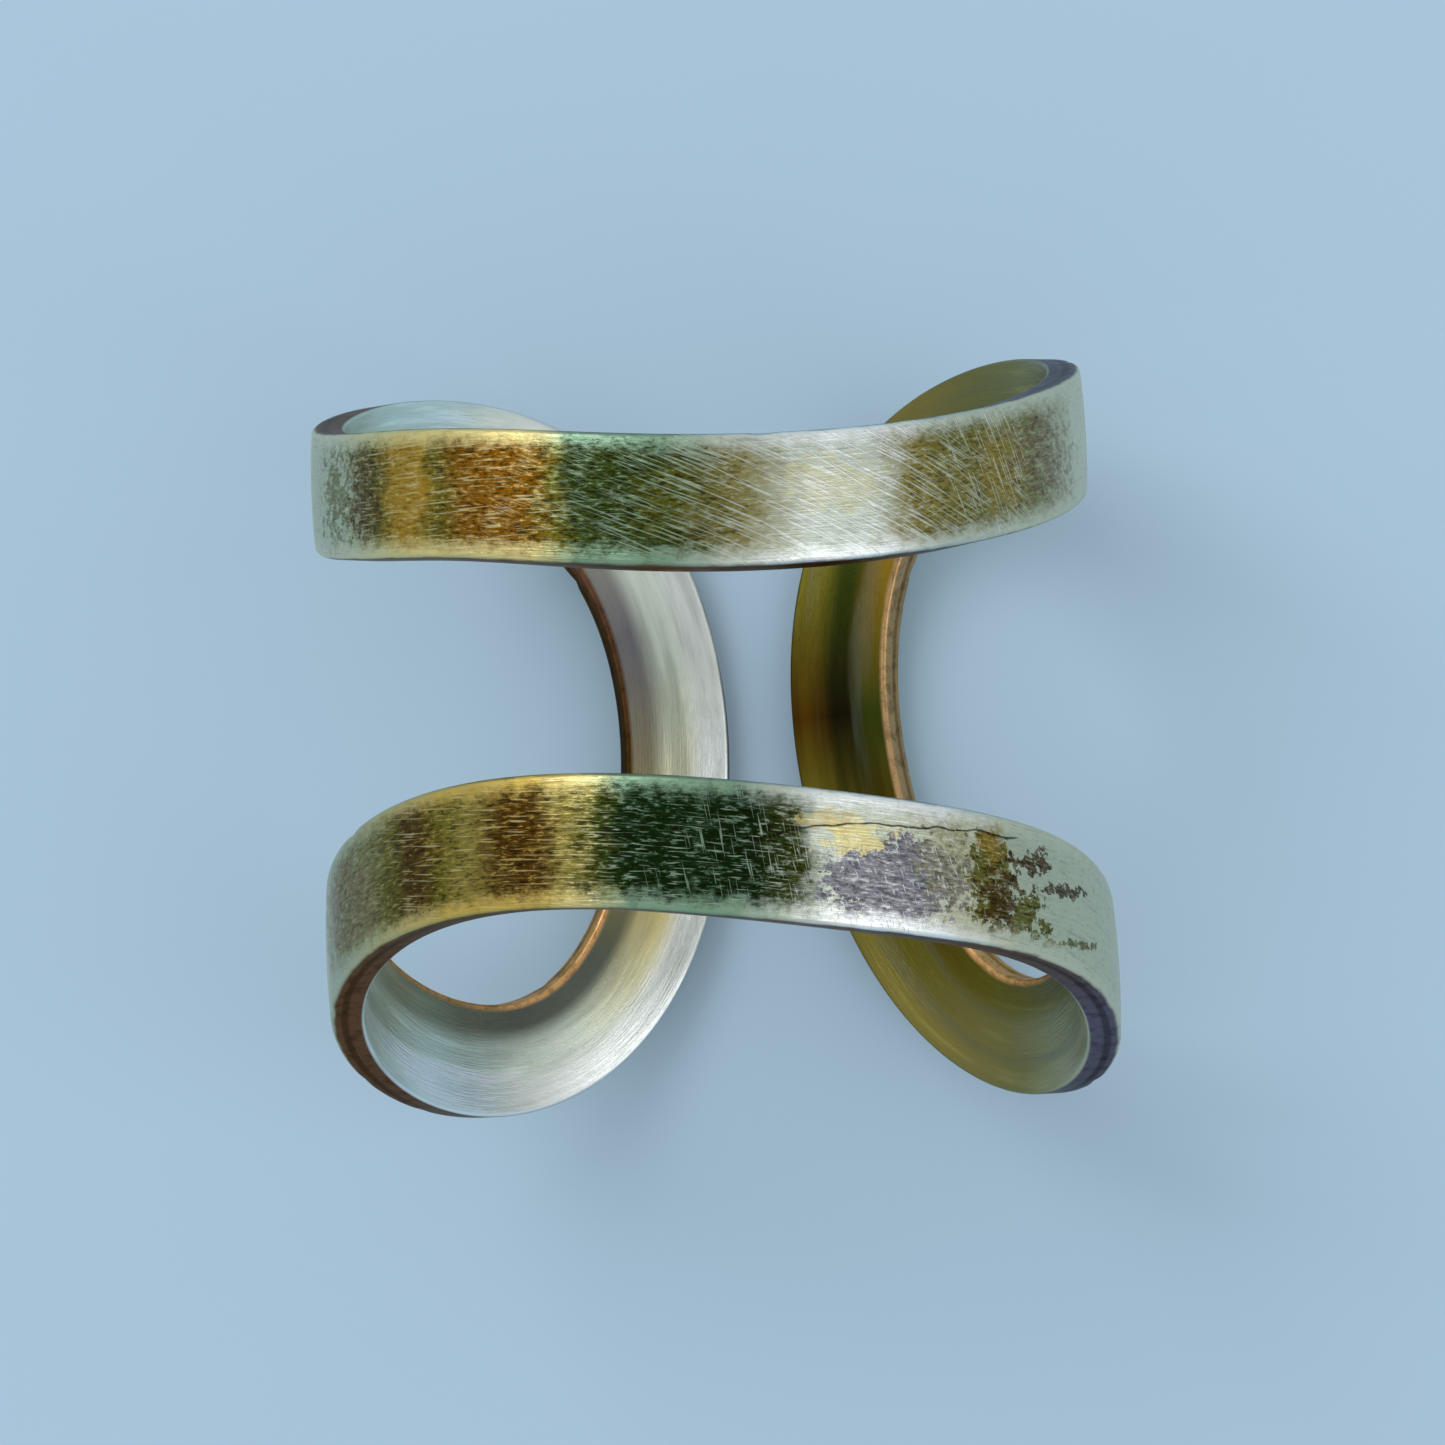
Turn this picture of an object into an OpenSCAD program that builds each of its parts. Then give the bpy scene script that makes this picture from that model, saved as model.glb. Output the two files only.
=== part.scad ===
// Double-bar adjustable finger ring.
//
// One closed loop of flat silver strip, sawn as a dog-bone outline and bent round a
// mandrel. Two bars cross the top of the finger, spread apart toward the sides, and
// join in a U-turn on each side of a narrow gap at the back.
//
// Frame: millimetres. Origin at the middle of the finger hole. +Y runs along the
// finger. +Z points from the gap at the back to the two bars on top.

/* [Finger hole] */

// Diameter of the finger hole
bore_diameter = 18.2; // [14:0.1:24]
// Gap between the two U-turns at the back of the finger
back_gap = 2.0; // [0.8:0.1:5]

/* [Strip] */

// Width of the flat strip
strip_width = 3.1; // [1.6:0.1:4.4]
// Thickness of the flat strip
strip_thickness = 0.9; // [0.6:0.05:1.6]
// Flat worn along the two outer corners of the strip
corner_wear = 0.12; // [0.02:0.01:0.25]

/* [Loop outline] */

// Distance along the finger between the middles of the two bars, centre line to centre line
bar_spacing = 8.8; // [6.8:0.1:12]
// Widest distance between the centre lines, out at the shoulders of each U-turn
shoulder_spread = 16.8; // [13:0.1:22]
// How square the U-turns are (0 is a plain round turn)
turn_fullness = 0.15; // [0:0.01:0.25]
// How far the shoulders reach round toward the gap
shoulder_reach = 0.09; // [0.02:0.01:0.2]

/* [Bent by hand] */

// How far the two bars have slid past each other, round the finger
bar_slide = 2.8; // [-3:0.1:3]
// How far that pulled the strip out of line, along the finger
hand_lean = 0.9; // [-1:0.1:1]
// How much more one shoulder was turned in than the next
turn_skew = 0.4; // [-0.6:0.1:0.6]

/* [Hidden] */

// Straight steps round the loop's outline, and sides on a drawn cylinder.
outline_steps = 180;
round_sides = 360;

bore_radius = bore_diameter / 2;
outer_radius = bore_radius + strip_thickness;
neutral_radius = bore_radius + strip_thickness / 2;
half_width = strip_width / 2;

// From the top middle to the centre line of a U-turn, measured round the neutral circle.
turn_distance = PI * neutral_radius - half_width - back_gap / 2;

// Three sine terms set how far the loop's centre line lies from the ring's middle.
// Together they put it bar_spacing / 2 out in the bars and shoulder_spread / 2 at the shoulders.
third_term = (shoulder_spread - bar_spacing / 2) / 3;
first_and_fifth = bar_spacing / 2 + third_term;
fifth_term = turn_fullness * first_and_fifth;
first_term = first_and_fifth - fifth_term;

// Centre line of the loop laid out flat: [distance round the ring, distance along the finger].
// The first row of each is the true outline, and the second is what the hand bending did to it.
function centre_line(a) = [
    turn_distance * ((1 - shoulder_reach) * cos(a) + shoulder_reach * cos(3 * a))
        - bar_slide * (sin(a) - sin(3 * a) / 4) + turn_skew * sin(4 * a),
    first_term * sin(a) + third_term * sin(3 * a) + fifth_term * sin(5 * a)
        + hand_lean * cos(3 * a)
];

// Direction in which the centre line runs.
function centre_slope(a) = [
    -turn_distance * ((1 - shoulder_reach) * sin(a) + 3 * shoulder_reach * sin(3 * a))
        - bar_slide * (cos(a) - 3 * cos(3 * a) / 4) + 4 * turn_skew * cos(4 * a),
    first_term * cos(a) + 3 * third_term * cos(3 * a) + 5 * fifth_term * cos(5 * a)
        - 3 * hand_lean * sin(3 * a)
];

// Direction straight across the strip, toward the inside of the loop.
function across(a) = let (d = centre_slope(a)) [-d[1], d[0]] / norm(d);

// A point of the flat blank, bent round the ring's axis: u is its distance across the
// strip from the centre line at a, and h is its height above the finger hole.
function bent(a, u, h) = let (
    flat = centre_line(a) + u * across(a),
    turn = flat[0] / neutral_radius * 180 / PI
) [(bore_radius + h) * sin(turn), flat[1], (bore_radius + h) * cos(turn)];

// Section of the cutter that leaves the strip: two straight sides with worn corners.
// It passes the tube's inner and outer faces by cut_margin.
cut_margin = 0.4;
wear_height = strip_thickness - corner_wear;
margin_height = strip_thickness + cut_margin;
margin_width = half_width - corner_wear - cut_margin;
cutter_section = [
    [half_width, -cut_margin],
    [half_width, wear_height],
    [margin_width, margin_height],
    [-margin_width, margin_height],
    [-half_width, wear_height],
    [-half_width, -cut_margin]
];

// The loop's outline, bent round the ring and thicker than the tube it is cut from.
module bent_outline() {
    corners = len(cutter_section);
    points = [
        for (i = [0:outline_steps - 1], q = cutter_section)
            bent(360 * i / outline_steps, q[0], q[1])
    ];
    faces = [
        for (i = [0:outline_steps - 1], j = [0:corners - 1])
            let (
                here = i * corners,
                next = ((i + 1) % outline_steps) * corners,
                k = (j + 1) % corners
            )
                each [
                    [here + j, next + k, next + j],
                    [here + j, here + k, next + k]
                ]
    ];
    polyhedron(points = points, faces = faces, convexity = 10);
}

// Plain tube along the finger, with the true finger hole and the true outer face.
module tube() {
    length = 2 * shoulder_spread;
    rotate([90, 0, 0])
        difference() {
            cylinder(r = outer_radius, h = length, center = true, $fn = round_sides);
            cylinder(r = bore_radius, h = length + 2, center = true, $fn = round_sides);
        }
}

// The ring itself, which is a single piece: the tube cut down to the bent outline.
module band() {
    color("silver")
        intersection() {
            tube();
            bent_outline();
        }
}

band();
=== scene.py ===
"""An open-backed, double-bar finger ring in tarnished silver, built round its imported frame.

The ring is one closed loop of flat strip. Two bars cross the top of the finger, and at each
side they lean together and meet in a U-turn. Lengths in the classes are millimetres, and the
meshes are metres in the frame's own axes: +Y along the finger, +Z toward the two bars.
"""

import logging
import math
import random
from collections.abc import Sequence
from dataclasses import dataclass, field
from enum import Enum
from functools import partial

import bmesh
import bpy
from mathutils import Euler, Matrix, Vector


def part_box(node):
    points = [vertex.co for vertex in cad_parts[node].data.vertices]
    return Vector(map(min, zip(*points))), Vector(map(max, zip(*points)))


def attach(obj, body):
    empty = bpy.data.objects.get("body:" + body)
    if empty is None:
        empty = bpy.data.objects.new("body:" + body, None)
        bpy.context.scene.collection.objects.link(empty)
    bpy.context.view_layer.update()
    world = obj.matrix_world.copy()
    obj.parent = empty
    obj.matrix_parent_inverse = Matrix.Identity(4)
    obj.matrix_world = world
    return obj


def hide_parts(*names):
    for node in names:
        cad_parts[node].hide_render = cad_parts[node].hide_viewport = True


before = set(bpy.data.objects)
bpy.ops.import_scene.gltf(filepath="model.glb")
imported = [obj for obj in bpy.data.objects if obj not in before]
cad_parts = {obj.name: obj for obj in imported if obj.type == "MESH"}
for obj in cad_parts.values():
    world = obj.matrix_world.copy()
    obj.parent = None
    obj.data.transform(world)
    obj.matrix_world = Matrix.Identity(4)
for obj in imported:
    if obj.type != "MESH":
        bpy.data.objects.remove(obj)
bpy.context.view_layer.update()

LOG = logging.getLogger("double_bar_ring")
MM = 0.001
BODY = "root"
NODE = "band"

# Node types and their settings, by what they do here.
ATTRIBUTE = "ShaderNodeAttribute"
MATH = "ShaderNodeMath"
MIX = "ShaderNodeMix"
NOISE = "ShaderNodeTexNoise"
RANGE = "ShaderNodeMapRange"
SPLIT = "ShaderNodeSeparateXYZ"
VECTOR = "ShaderNodeVectorMath"
MINUS = {"operation": "SUBTRACT"}
MOST = {"operation": "MAXIMUM"}
PLUS = {"operation": "ADD"}
SIZE = {"operation": "ABSOLUTE"}
SMOOTH = {"interpolation_type": "SMOOTHSTEP"}
TIMES = {"operation": "MULTIPLY"}
TIMES_PLUS = {"operation": "MULTIPLY_ADD"}

# Sockets of the Mix node when it mixes colours.
MIX_FACTOR = 0
MIX_UNDER = 6
MIX_OVER = 7
MIX_RESULT = 2

# How far round the ring from the top the bars' tarnish and its painted reflections and
# highlights are laid out, in millimetres.
FILM_AND_SHEEN_REACH = 17.0

# How far to each side of the middle two films blend, in millimetres: the two bars' films, with
# their painted reflections and highlights, and those of the two sawn edges.
BARS_BLEND = 1.5
EDGES_BLEND = 0.2

# Heights above the finger hole at which the outer face, the finger's face and the worn corners,
# with their painted highlight, start and are whole, in millimetres.
OUTER_STARTS = 0.73
OUTER_WHOLE = 0.83
FINGER_STARTS = 0.1
FINGER_WHOLE = 0.02
WEAR_AND_HIGHLIGHT_STARTS = 0.7
WEAR_AND_HIGHLIGHT_WHOLE = 0.8

# Distances from the middle of the strip at which more films start and are whole: those at the
# sides of the finger's face, the inner edge's colour with its painted orange glints where it is
# carried in over that face, and the worn corners with their painted highlight.
SIDE_STARTS = 0.15
SIDE_WHOLE = 0.9
EDGE_AND_GLINT_STARTS = 1.3
EDGE_AND_GLINT_WHOLE = 1.46
CORNER_STARTS = 1.4
CORNER_WHOLE = 1.47

Socket = bpy.types.NodeSocket
Tree = bpy.types.NodeTree


def linear_colour(hex_code: str) -> tuple[float, float, float, float]:
    """Turns an sRGB hex colour into linear light.

    Args:
        hex_code: Six hex digits after a hash sign.

    Returns:
        Red, green, blue and an alpha of 1.
    """
    channels = []
    # The numbers are the sRGB curve's own.
    for start in (1, 3, 5):
        value = int(hex_code[start : start + 2], 16) / 255
        channels.append(value / 12.92 if value <= 0.04045 else ((value + 0.055) / 1.055) ** 2.4)
    return (channels[0], channels[1], channels[2], 1.0)


def add_node(
    tree: Tree,
    kind: str,
    settings: dict | None = None,
    inputs: dict | None = None,
    out: int | str = 0,
) -> Socket | None:
    """Adds one node, with its settings and what its inputs hold or are linked to.

    Args:
        tree: The node tree that gets the node.
        kind: Blender's name for the node type.
        settings: The node's own properties by name.
        inputs: A value or another node's output for each input, by name or number.
        out: Which output to hand back.

    Returns:
        The chosen output of the new node, or None for the output node.
    """
    node = tree.nodes.new(kind)
    for name, value in (settings or {}).items():
        setattr(node, name, value)
    for name, value in (inputs or {}).items():
        if isinstance(value, Socket):
            tree.links.new(value, node.inputs[name])
        else:
            node.inputs[name].default_value = value
    return node.outputs[out] if node.outputs else None


class Tarnish(Enum):
    """Colours that the sulphide film on old silver takes as it thickens, the metal under it, and painted
    light.
    """

    RUBBED_WHITE_AND_HIGHLIGHT = "#f4f8f4"
    BRIGHT_SILVER = "#c8d0c0"
    PALE_SILVER = "#ddd6b6"
    GREY_SILVER = "#bfc0a0"
    CREAM = "#e6d690"
    STRAW = "#d0b45c"
    GOLD = "#a88428"
    AMBER = "#805408"
    BROWN = "#4c320a"
    KHAKI = "#8c8450"
    MOSS = "#8c8040"
    OLIVE = "#6a6420"
    DARK_OLIVE = "#3a4414"
    BOTTLE_GREEN = "#12260a"
    SEA_GREEN = "#88a88c"
    VIOLET_GREY = "#7e7c84"
    UMBER = "#7d5842"
    DUSK = "#756c78"
    TAN = "#c8a070"
    ORANGE_GLINT = "#ecb474"
    MINT = "#e0eadc"
    SLATE = "#646a60"
    BLACK = "#1a150a"


@dataclass(frozen=True)
class Tone:
    """A colour at one place: tarnish, metal or painted light.

    Attributes:
        at: The place, in millimetres round the ring or in degrees round the loop.
        tarnish: The colour there.
    """

    at: float
    tarnish: Tarnish


def tones(*pairs: tuple[float, Tarnish]) -> tuple[Tone, ...]:
    """Makes a run of tones from pairs of a place and a colour."""
    return tuple(Tone(at, tarnish) for at, tarnish in pairs)


@dataclass(frozen=True)
class Bloom:
    """An oval patch of tarnish with a ragged border.

    Attributes:
        round_ring: Middle of the patch, in millimetres round the ring from the top.
        along_finger: Middle of the patch, in millimetres along the finger.
        half_length: Half its size round the ring.
        half_width: Half its size along the finger.
        tarnish: Its colour.
        cover: How much of the metal it hides, from 0 to 1.
        ragged: How far its border is eaten in and out, as a share of its size.
        softness: How wide its border is, as a share of its size.
        grain: Blotches to the millimetre along its border.
    """

    round_ring: float
    along_finger: float
    half_length: float
    half_width: float
    tarnish: Tarnish
    cover: float = 0.9
    ragged: float = 1.2
    softness: float = 0.4
    grain: float = 3.0


@dataclass(frozen=True)
class Scratches:
    """A set of straight scratches that run one way.

    Attributes:
        round_ring: Middle of the set, in millimetres round the ring from the top.
        along_finger: Middle of the set, in millimetres along the finger.
        half_length: Half its reach round the ring.
        half_width: Half its reach along the finger.
        angle: How far they fall toward -Y as they go round toward +X, in degrees.
        length: Length of a scratch, in millimetres.
        gap: Distance from one to the next.
        rarity: How rare they are, from 0.5 for crowded to 0.8 for hardly any.
        softness: How soft their borders are, on the same scale.
    """

    round_ring: float
    along_finger: float
    half_length: float
    half_width: float
    angle: float
    length: float
    gap: float
    rarity: float
    softness: float = 0.08


@dataclass(frozen=True)
class Crack:
    """A hair-thin bowed crack in the film.

    Attributes:
        round_ring: Its middle, in millimetres round the ring from the top.
        along_finger: Its middle, in millimetres along the finger.
        half_length: Half its length.
        bow: How much it bends toward -Y, per millimetre squared.
        width: Its width.
        sway: How far it sways along the finger.
        taper: How far in from each end it fades.
        darkness: How much of the metal it hides, from 0 to 1.
    """

    round_ring: float
    along_finger: float
    half_length: float
    bow: float
    width: float
    sway: float = 0.5
    taper: float = 0.3
    darkness: float = 0.85


@dataclass
class LoopOutline:
    """The loop's centre line, laid out flat before it is bent round the finger.

    Attributes:
        bore_radius: Radius of the finger hole.
        thickness: Thickness of the strip.
        width: Width of the strip.
        back_gap: Gap between the two U-turns at the back.
        bar_spacing: Distance along the finger between the middles of the two bars.
        shoulder_spread: Widest distance between the centre lines, at the shoulders.
        turn_fullness: How square the U-turns are.
        shoulder_reach: How far the shoulders reach round toward the gap.
        bar_slide: How far the two bars have slid past each other.
        hand_lean: How far that pulled the strip out of line.
        turn_skew: How much more one shoulder was turned in than the next.
    """

    bore_radius: float = 9.1
    thickness: float = 0.9
    width: float = 3.1
    back_gap: float = 2.0
    bar_spacing: float = 8.8
    shoulder_spread: float = 16.8
    turn_fullness: float = 0.15
    shoulder_reach: float = 0.09
    bar_slide: float = 2.8
    hand_lean: float = 0.9
    turn_skew: float = 0.4

    def __post_init__(self) -> None:
        """Works out the sine terms from the driving sizes."""
        self.neutral_radius = self.bore_radius + self.thickness / 2
        self.turn_distance = math.pi * self.neutral_radius - (self.width + self.back_gap) / 2
        self.third_term = (self.shoulder_spread - self.bar_spacing / 2) / 3
        first_and_fifth = self.bar_spacing / 2 + self.third_term
        self.fifth_term = self.turn_fullness * first_and_fifth
        self.first_term = first_and_fifth - self.fifth_term

    def centre(self, a: float) -> Vector:
        """Gives a point of the flat centre line.

        Args:
            a: Angle round the loop.

        Returns:
            Distance round the ring and distance along the finger.
        """
        reach = self.shoulder_reach
        around = self.turn_distance * ((1 - reach) * math.cos(a) + reach * math.cos(3 * a))
        around += self.turn_skew * math.sin(4 * a)
        around -= self.bar_slide * (math.sin(a) - math.sin(3 * a) / 4)
        along = self.first_term * math.sin(a) + self.third_term * math.sin(3 * a)
        along += self.fifth_term * math.sin(5 * a) + self.hand_lean * math.cos(3 * a)
        return Vector((around, along))

    def slope(self, a: float) -> Vector:
        """Gives the direction in which the flat centre line runs.

        Args:
            a: Angle round the loop.

        Returns:
            How fast both distances grow there.
        """
        reach = self.shoulder_reach
        around = -self.turn_distance * ((1 - reach) * math.sin(a) + 3 * reach * math.sin(3 * a))
        around += 4 * self.turn_skew * math.cos(4 * a)
        around -= self.bar_slide * (math.cos(a) - 3 * math.cos(3 * a) / 4)
        along = self.first_term * math.cos(a) + 3 * self.third_term * math.cos(3 * a)
        along += 5 * self.fifth_term * math.cos(5 * a) - 3 * self.hand_lean * math.sin(3 * a)
        return Vector((around, along))

    def flat(self, a: float, across: float) -> Vector:
        """Gives the flat point that lies so far across the strip, toward the inside of the loop."""
        slope = self.slope(a).normalized()
        return self.centre(a) + across * Vector((-slope.y, slope.x))

    def bend(self, flat: Vector, height: float) -> Vector:
        """Bends a flat point round the finger.

        Args:
            flat: Distance round the ring and distance along the finger.
            height: Height above the finger hole.

        Returns:
            The point in metres, in the frame's axes.
        """
        turn = flat.x / self.neutral_radius
        radius = self.bore_radius + height
        return MM * Vector((radius * math.sin(turn), flat.y, radius * math.cos(turn)))


@dataclass(frozen=True)
class StripSection:
    """The strip's cross-section, worn round by years on the finger.

    Attributes:
        width: Width of the strip.
        thickness: Thickness of the strip.
        outer_corner: Radius worn on the two outer corners.
        finger_corner: Radius worn on the two corners against the finger.
        crown: How much lower the outer face is at its corners than along its middle.
        finger_steps: Steps from the middle of the finger's face to its corner.
        finger_corner_steps: Steps round the corner there.
        edge_steps: Steps up the sawn edge.
        outer_corner_steps: Steps round the outer corner.
        crown_steps: Steps from there to the middle of the outer face.
    """

    width: float
    thickness: float
    outer_corner: float = 0.15
    finger_corner: float = 0.1
    crown: float = 0.05
    finger_steps: int = 8
    finger_corner_steps: int = 5
    edge_steps: int = 5
    outer_corner_steps: int = 7
    crown_steps: int = 12

    def points(self) -> list[tuple[float, float]]:
        """Gives the closed section, starting at the middle of the finger's face.

        Returns:
            Distance across the strip and height above the finger hole, for each point.
        """
        half = self.width / 2
        top = self.thickness - self.crown
        inner_flat = half - self.finger_corner
        outer_flat = half - self.outer_corner
        side: list[tuple[float, float]] = []
        for step in range(self.finger_steps):
            side.append((inner_flat * (step / self.finger_steps), 0.0))
        lower_middle = (inner_flat, self.finger_corner)
        side += self._corner(lower_middle, self.finger_corner, -90, self.finger_corner_steps)
        edge_height = top - self.outer_corner - self.finger_corner
        for step in range(1, self.edge_steps):
            side.append((half, self.finger_corner + edge_height * step / self.edge_steps))
        upper_middle = (outer_flat, top - self.outer_corner)
        side += self._corner(upper_middle, self.outer_corner, 0, self.outer_corner_steps)
        for step in range(1, self.crown_steps):
            across = outer_flat * (1 - step / self.crown_steps)
            side.append((across, top + self.crown * (1 - (across / outer_flat) ** 2)))
        middle_top = (0.0, self.thickness)
        mirrored = [(-across, height) for across, height in reversed(side[1:])]
        return side + [middle_top] + mirrored

    @staticmethod
    def _corner(
        middle: tuple[float, float], radius: float, start: float, steps: int
    ) -> list[tuple[float, float]]:
        """Gives one rounded corner, which is a quarter turn.

        Args:
            middle: Middle of the turn, as (across, height).
            radius: Its radius.
            start: Angle at which it starts, in degrees.
            steps: Steps along it.

        Returns:
            The points in order, as (across, height).
        """
        across, height = middle
        angles = [math.radians(start + 90 * step / steps) for step in range(steps + 1)]
        return [(across + radius * math.cos(t), height + radius * math.sin(t)) for t in angles]


@dataclass(frozen=True)
class Nick:
    """A small dent in one outer corner of the strip.

    Attributes:
        turn: Place round the loop, in degrees.
        side: 1 for the edge inside the loop, -1 for the edge outside it.
        depth: Depth of the dent.
        length: Half its length along the strip.
    """

    turn: float
    side: int
    depth: float
    length: float


@dataclass(frozen=True)
class TarnishedSilverWithSheen:
    """Sterling silver, filed and rubbed by hand, then worn and left to tarnish.

    The eye sees rubbed metal with fine lines along the strip, a film that runs from straw
    through amber and brown to green and violet where it is thickest, pits that hold black,
    and bright scratches and corners where wear has cut through to white metal. Light is also
    painted into the colours: a dark reflection partly under the green across each bar's middle, a
    highlight on the upper bar, along the bars' rims and on the worn corners, reflections on the
    face against the finger, and orange glints on the inner edge.

    Attributes:
        upper_bar: Film along the bar on the +Y side, by millimetres round the ring. Its dark middle
            is partly a painted reflection, and its bright silver stretch is a painted highlight.
        upper_rim: The same along that bar's far edge, partly a painted highlight.
        lower_bar: Film along the bar on the -Y side, its dark middle partly a painted reflection.
        lower_rim: The same along that bar's edges, partly a painted highlight.
        lower_rim: The same along that bar's edges.
        finger_outer: Film against the finger, partly painted reflections of the loop's inside and
        of the board, on the half outside the loop, by degrees round it.
        finger_middle: The same along the middle of that face.
        finger_inner: The same on the half inside the loop.
        inner_edge: Film on the sawn edge inside the loop, by degrees round the loop, with painted
        orange glints from 192 to 222 and from 326 to 340 degrees.
        outer_edge: Film on the sawn edge outside the loop, by degrees round the loop.
        blooms: Separate patches on the outer face.
        scratches: Sets of scratches on the outer face.
        crack: The one crack in the film.
        wander: How far the film's borders wander round the ring and along the finger.
        flecks_per_mm: Flecks and pits to the millimetre, along the strip and across it.
        rub_length: Length of a rubbed line, in millimetres.
        rub_gap: Distance from one rubbed line to the next.
        streak_length: Length of a soft streak on the finger's face, in millimetres.
        streak_gap: Distance from one of those streaks to the next.
        saw_line_height: Height of the saw line on the sawn edges, in millimetres.
        fleck_cover: How much of the metal the light flecks hide, from 0 to 1.
        pit_cover: The same for the pits in bare metal.
        film_pit_cover: What the film adds to that.
        light_line_cover: The same for the light rubbed lines.
        dark_line_cover: The same for the dark ones.
        scratch_cover: The same for the scratches.
        scratch_gleam: How much light the scratches add.
        streak_cover: How much the soft streaks darken and lighten the finger's face.
        blotch_cover: How much the blotches darken the sawn edges.
        saw_line_cover: How much the saw line darkens them.
        edge_gleam: How white the sawn edges turn at a glancing angle.
        wear_and_highlight_cover: How bare the worn corners are, and how bright their painted highlight is.
        base_roughness: Roughness of the rubbed metal.
        film_roughness: What the film adds to it.
        thick_roughness: What the film adds where it is thick.
        line_depth: Depth of the rubbed lines, in millimetres.
        scratch_depth: Depth of the scratches, as a share of that.
        pit_depth: Depth of the pits, as a share of it.
    """

    upper_bar: tuple[Tone, ...] = tones(
        (-16, Tarnish.PALE_SILVER),
        (-8.4, Tarnish.GREY_SILVER),
        (-7.6, Tarnish.KHAKI),
        (-7, Tarnish.OLIVE),
        (-6.4, Tarnish.GOLD),
        (-5.5, Tarnish.GOLD),
        (-4.9, Tarnish.OLIVE),
        (-4.1, Tarnish.AMBER),
        (-2.7, Tarnish.AMBER),
        (-1.9, Tarnish.OLIVE),
        # From here to 1 the dark middle is partly tarnish and partly a painted dark reflection.
        (-1.2, Tarnish.DARK_OLIVE),
        (1, Tarnish.DARK_OLIVE),
        (2.4, Tarnish.KHAKI),
        # The bright silver from here to 5.2 is a painted highlight.
        (3.9, Tarnish.BRIGHT_SILVER),
        (5.2, Tarnish.BRIGHT_SILVER),
        (6.3, Tarnish.MOSS),
        (7.4, Tarnish.OLIVE),
        (8.8, Tarnish.MOSS),
        (10.2, Tarnish.KHAKI),
        (13, Tarnish.PALE_SILVER),
    )
    # Partly film and partly a painted highlight along the bar's far edge, whitest from 4 to 5.6.
    upper_rim: tuple[Tone, ...] = tones(
        (-9, Tarnish.PALE_SILVER),
        (-6.4, Tarnish.CREAM),
        (-4, Tarnish.CREAM),
        (-2.6, Tarnish.CREAM),
        (-1.4, Tarnish.SEA_GREEN),
        (0.6, Tarnish.SEA_GREEN),
        (2, Tarnish.BRIGHT_SILVER),
        (4, Tarnish.RUBBED_WHITE_AND_HIGHLIGHT),
        (5.6, Tarnish.RUBBED_WHITE_AND_HIGHLIGHT),
        (7, Tarnish.BRIGHT_SILVER),
        (10, Tarnish.PALE_SILVER),
    )
    lower_bar: tuple[Tone, ...] = tones(
        (-16, Tarnish.GREY_SILVER),
        (-12, Tarnish.PALE_SILVER),
        (-9.6, Tarnish.KHAKI),
        (-8, Tarnish.KHAKI),
        (-7, Tarnish.OLIVE),
        (-6.2, Tarnish.BROWN),
        (-5.3, Tarnish.OLIVE),
        (-4.4, Tarnish.MOSS),
        (-3.4, Tarnish.BROWN),
        (-2.6, Tarnish.BROWN),
        (-1.9, Tarnish.MOSS),
        # From here to 3.2 the dark middle is partly tarnish and partly a painted dark reflection.
        (-1.2, Tarnish.DARK_OLIVE),
        (-0.6, Tarnish.BOTTLE_GREEN),
        (2.3, Tarnish.BOTTLE_GREEN),
        (3.2, Tarnish.DARK_OLIVE),
        (3.8, Tarnish.BRIGHT_SILVER),
        (7, Tarnish.GREY_SILVER),
        (16, Tarnish.PALE_SILVER),
    )
    # Partly film and partly a painted highlight along the bar's edges, whitest from 4.2 to 6.5.
    lower_rim: tuple[Tone, ...] = tones(
        (-10, Tarnish.GREY_SILVER),
        (-5, Tarnish.STRAW),
        (-2.6, Tarnish.STRAW),
        (-1.6, Tarnish.CREAM),
        (-0.6, Tarnish.SEA_GREEN),
        (1.8, Tarnish.SEA_GREEN),
        (3, Tarnish.BRIGHT_SILVER),
        (4.2, Tarnish.RUBBED_WHITE_AND_HIGHLIGHT),
        (6.5, Tarnish.RUBBED_WHITE_AND_HIGHLIGHT),
        (8.5, Tarnish.PALE_SILVER),
    )
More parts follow.
